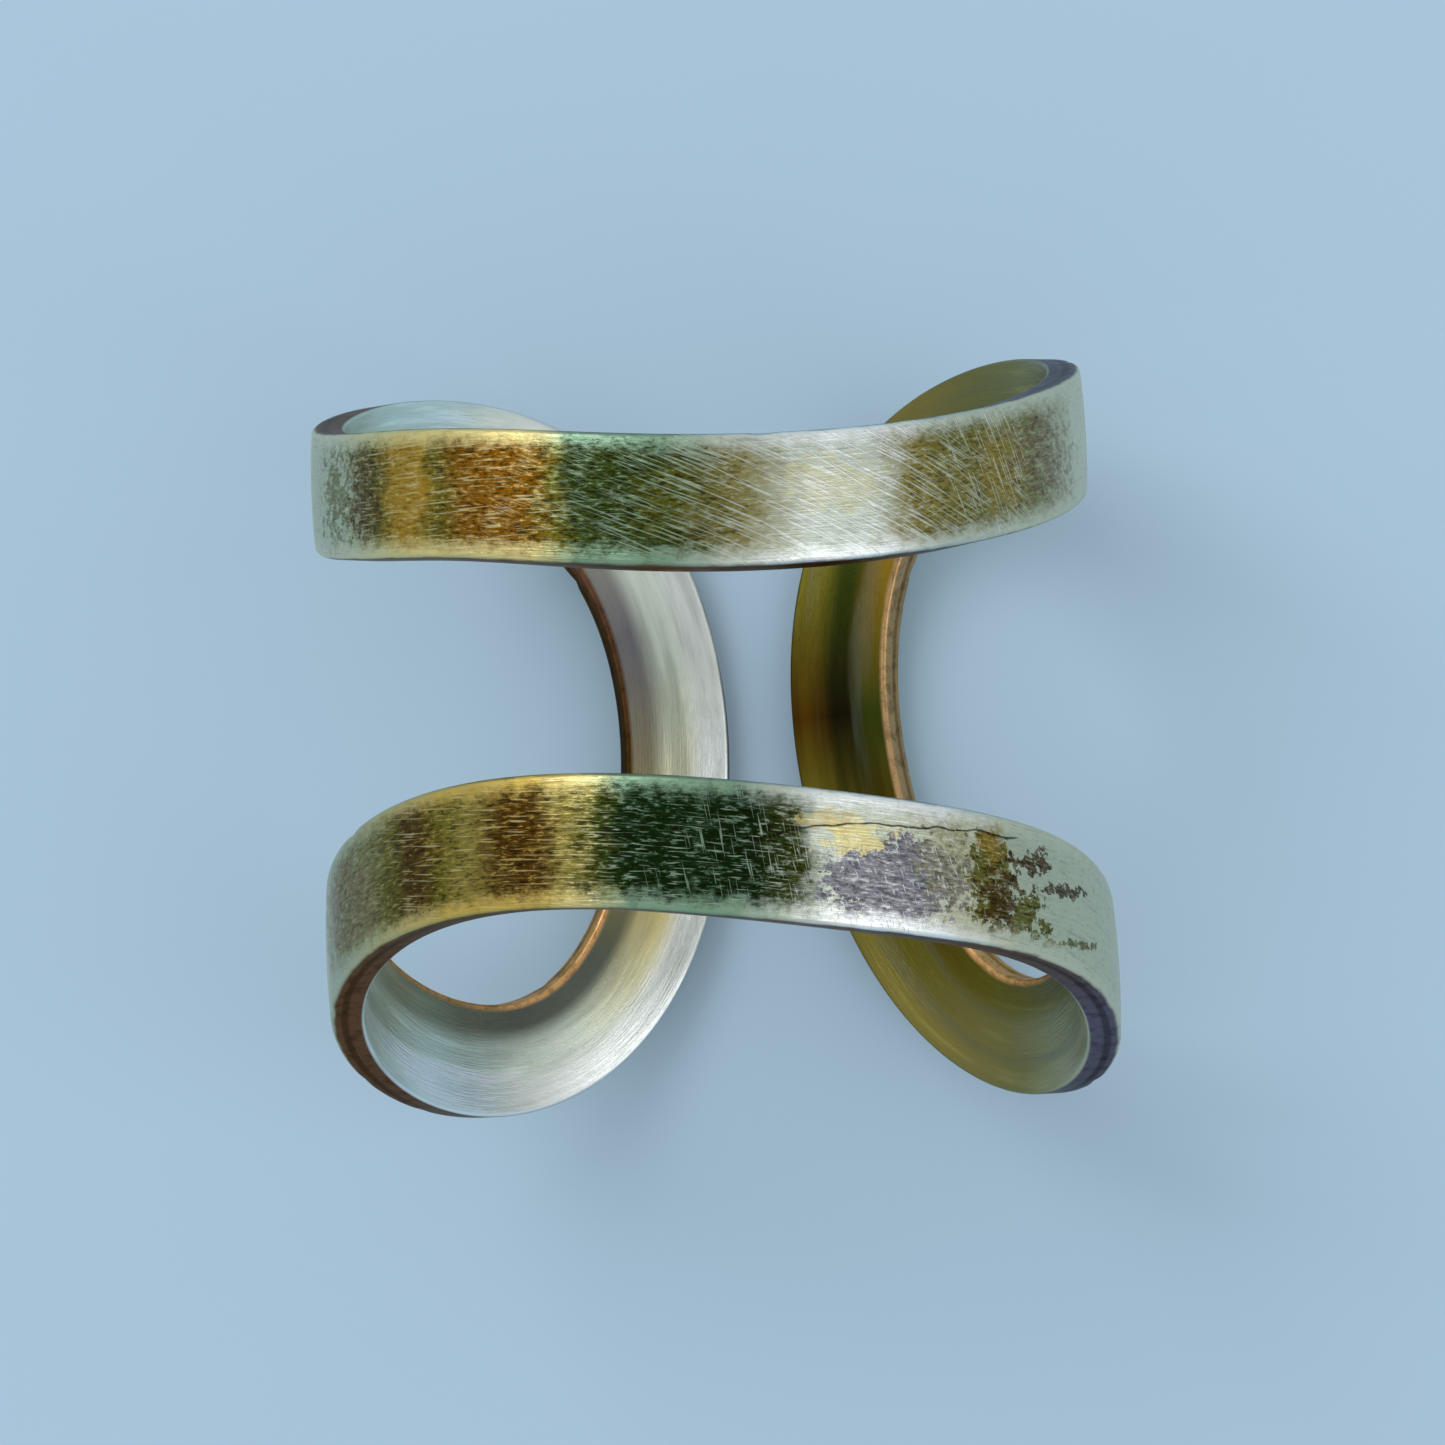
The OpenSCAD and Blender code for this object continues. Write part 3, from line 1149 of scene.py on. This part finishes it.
@dataclass
class Band:
    """The ring's one piece: a loop of flat strip bent round the finger.

    Attributes:
        outline: The loop's centre line and the finger hole it is bent to.
        steps: Steps round the loop.
        nicks: How many small dents the corners have.
        nick_depth: Least and greatest depth of a dent, in millimetres.
        nick_length: Least and greatest half-length of a dent.
        nick_reach: Farthest from the corner that a dent can show.
        nick_width: How far from the corner it has faded to about a third.
        uneven: How much the hand-sawn strip varies in width on each side.
        seed: Seed for the places of the dents.
    """

    outline: LoopOutline = field(default_factory=LoopOutline)
    steps: int = 960
    nicks: int = 34
    nick_depth: tuple[float, float] = (0.01, 0.045)
    nick_length: tuple[float, float] = (0.12, 0.4)
    nick_reach: float = 0.7
    nick_width: float = 0.25
    uneven: float = 0.035
    seed: int = 11

    def build(self) -> bpy.types.Object:
        """Builds the loop as one closed mesh.

        Each point carries its place on the flat strip, its place on a plain hoop as long as
        the strip, and its angle round the loop, and the silver is laid out by those.

        Returns:
            The band's object.
        """
        section = StripSection(self.outline.width, self.outline.thickness).points()
        dents = self._dents()
        points, flats, hoops = [], [], []
        distance, total = self._distances()
        hoop_radius = total / (2 * math.pi)
        for step in range(self.steps):
            a = 2 * math.pi * step / self.steps
            around_hoop = 2 * math.pi * distance[step] / total
            for across, height in section:
                across_here, height_here = self._worn(a, across, height, dents)
                flat = self.outline.flat(a, across_here)
                points.append(self.outline.bend(flat, height_here))
                flats += (flat.x, flat.y, height)
                hoops += (hoop_radius * math.cos(around_hoop), hoop_radius * math.sin(around_hoop), across)
        faces, turns = self._faces(len(section))
        mesh = bpy.data.meshes.new("loop_of_strip")
        mesh.from_pydata(points, [], faces)
        mesh.attributes.new("flat", "FLOAT_VECTOR", "POINT").data.foreach_set("vector", flats)
        mesh.attributes.new("hoop", "FLOAT_VECTOR", "POINT").data.foreach_set("vector", hoops)
        mesh.attributes.new("turn", "FLOAT", "CORNER").data.foreach_set("value", turns)
        mesh.shade_smooth()
        band = bpy.data.objects.new("ring_band", mesh)
        bpy.context.scene.collection.objects.link(band)
        return band

    def dress(self, band: bpy.types.Object) -> None:
        """Gives the band its silver, and puts it in the frame in place of the plain node.

        Args:
            band: The band's object.
        """
        band.data.materials.append(TarnishedSilverWithSheen().make())
        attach(band, BODY)
        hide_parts(NODE)
        LOG.info("%s: %d faces", band.name, len(band.data.polygons))

    def _distances(self) -> tuple[list[float], float]:
        """Measures the centre line.

        Returns:
            The distance along it at each step, and the loop's whole length.
        """
        distance = [0.0]
        for step in range(self.steps):
            a = 2 * math.pi * (step + 0.5) / self.steps
            distance.append(distance[-1] + self.outline.slope(a).length * 2 * math.pi / self.steps)
        return distance, distance[-1]

    def _dents(self) -> list[Nick]:
        """Scatters small dents along the corners, the same ones each time.

        Returns:
            The dents.
        """
        draw = random.Random(self.seed)
        dents = []
        for _ in range(self.nicks):
            turn = draw.uniform(0, 360)
            side = draw.choice((-1, 1))
            depth = draw.uniform(*self.nick_depth)
            length = draw.uniform(*self.nick_length)
            dents.append(Nick(turn, side, depth, length))
        return dents

    def _worn(self, a: float, across: float, height: float, dents: list[Nick]) -> tuple[float, float]:
        """Moves one point of the section in to where sawing and wear have left it.

        Args:
            a: Angle round the loop.
            across: Distance across the strip.
            height: Height above the finger hole.
            dents: The dents in the corners.

        Returns:
            The new distance across and the new height.
        """
        side = 1 if across > 0 else -1
        half = self.outline.width / 2
        # Two slow waves, from 0 to 1, which differ from one edge to the other.
        wave = 0.5 + 0.25 * math.sin(5 * a + 1.3 * side) + 0.25 * math.sin(11 * a + 2.1 * side)
        edge_share = (abs(across) / half) ** 4
        across -= side * self.uneven * wave * edge_share
        from_corner = math.hypot(half - abs(across), self.outline.thickness - height)
        if from_corner < self.nick_reach:
            per_degree = self.outline.slope(a).length * math.pi / 180
            for dent in dents:
                if dent.side != side:
                    continue
                away = (math.degrees(a) - dent.turn + 180) % 360 - 180
                along = away * per_degree / dent.length
                if abs(along) < 3:
                    fade = along * along + (from_corner / self.nick_width) ** 2
                    push = dent.depth * math.exp(-fade)
                    across -= side * push
                    height -= push
        return across, height

    def _faces(self, corners: int) -> tuple[list[tuple[int, int, int, int]], list[float]]:
        """Joins each section to the next.

        Args:
            corners: Points in one section.

        Returns:
            The faces, and the angle round the loop at each face corner in degrees.
        """
        faces, turns = [], []
        for step in range(self.steps):
            here = step * corners
            following = (step + 1) % self.steps * corners
            start, end = 360 * step / self.steps, 360 * (step + 1) / self.steps
            for corner in range(corners):
                after = (corner + 1) % corners
                faces.append((here + corner, following + corner, following + after, here + after))
                turns += (start, end, end, start)
        return faces, turns


@dataclass
class Tabletop:
    """A plain pale board under the ring, which isn't part of it.

    Attributes:
        size: Side of the board, in metres.
        colour: Its matt paint.
    """

    size: float = 1.2
    colour: str = "#b3cde0"

    def build(self) -> bpy.types.Object:
        """Lays the board under the band's lowest point.

        Returns:
            The board's object.
        """
        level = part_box(NODE)[0].z
        mesh = bpy.data.meshes.new("board")
        sheet = bmesh.new()
        bmesh.ops.create_grid(sheet, x_segments=1, y_segments=1, size=self.size / 2)
        bmesh.ops.translate(sheet, verts=sheet.verts, vec=(0, 0, level))
        sheet.to_mesh(mesh)
        sheet.free()
        board = bpy.data.objects.new("board", mesh)
        bpy.context.scene.collection.objects.link(board)
        return board

    def dress(self, board: bpy.types.Object) -> None:
        """Gives the board matt paint, which shows no gloss.

        Args:
            board: The board's object.
        """
        material = bpy.data.materials.new("matt_pale_paint")
        material.use_nodes = True
        tree = material.node_tree
        tree.nodes.clear()
        inputs = {"Base Color": linear_colour(self.colour), "Roughness": 0.9, "Specular IOR Level": 0.1}
        shader = add_node(tree, "ShaderNodeBsdfPrincipled", {}, inputs)
        add_node(tree, "ShaderNodeOutputMaterial", {}, {"Surface": shader})
        board.data.materials.append(material)
        LOG.info("%s: laid", board.name)


@dataclass(frozen=True)
class Softbox:
    """A soft square lamp.

    Attributes:
        name: What it is for.
        place: Where it stands, in metres.
        side: Length of its side, in metres.
        power: Its power, in watts.
        colour: The colour of its light.
    """

    name: str
    place: tuple[float, float, float]
    side: float
    power: float
    colour: str = "#ffffff"

    def hang(self) -> None:
        """Hangs the lamp and turns it to the ring."""
        lamp = bpy.data.lights.new(self.name, "AREA")
        lamp.shape = "SQUARE"
        lamp.size = self.side
        lamp.energy = self.power
        lamp.color = linear_colour(self.colour)[:3]
        holder = bpy.data.objects.new(self.name, lamp)
        holder.location = self.place
        holder.rotation_euler = (-Vector(self.place)).to_track_quat("-Z", "Y").to_euler()
        bpy.context.scene.collection.objects.link(holder)


@dataclass
class Studio:
    """Plain soft studio light.

    Attributes:
        sky: Colour of the even light from all round.
        sky_strength: How strong that light is.
        lamps: The soft lamps.
    """

    sky: str = "#eef3f8"
    sky_strength: float = 0.75
    lamps: tuple[Softbox, ...] = (
        Softbox("key_softbox", (-0.25, 0.3, 0.45), 0.35, 0.9),
        Softbox("fill_softbox", (0.4, -0.15, 0.4), 0.4, 0.45),
    )

    def light(self) -> None:
        """Sets the even light and hangs the lamps."""
        world = bpy.data.worlds.new("soft_room")
        world.use_nodes = True
        background = world.node_tree.nodes["Background"]
        background.inputs["Color"].default_value = linear_colour(self.sky)
        background.inputs["Strength"].default_value = self.sky_strength
        bpy.context.scene.world = world
        bpy.context.scene.view_settings.view_transform = "Standard"
        for lamp in self.lamps:
            lamp.hang()
        LOG.info("studio: %d lamps", len(self.lamps))


@dataclass
class Viewpoint:
    """The camera, close above the two bars.

    Attributes:
        place: Where it stands, in millimetres.
        tilt: Its turn about X, Y and Z, in degrees.
        lens: Focal length on a 36 mm sensor.
    """

    place: tuple[float, float, float] = (11.8, -9.5, 77.8)
    tilt: tuple[float, float, float] = (6.36, 8.73, -2.76)
    lens: float = 76.8

    def set_up(self) -> None:
        """Places the camera and makes it the scene's own."""
        camera = bpy.data.cameras.new("camera")
        camera.sensor_width = 36
        camera.lens = self.lens
        camera.clip_start = 0.002
        holder = bpy.data.objects.new("camera", camera)
        holder.location = MM * Vector(self.place)
        holder.rotation_euler = Euler([math.radians(angle) for angle in self.tilt])
        bpy.context.scene.collection.objects.link(holder)
        bpy.context.scene.camera = holder
        LOG.info("camera: set")


def main() -> None:
    """Builds the ring, its studio and its camera."""
    logging.basicConfig(level=logging.INFO, format="%(name)s: %(message)s")
    Viewpoint().set_up()
    Studio().light()
    band = Band()
    band.dress(band.build())
    board = Tabletop()
    board.dress(board.build())


if __name__ == "__main__":
    main()
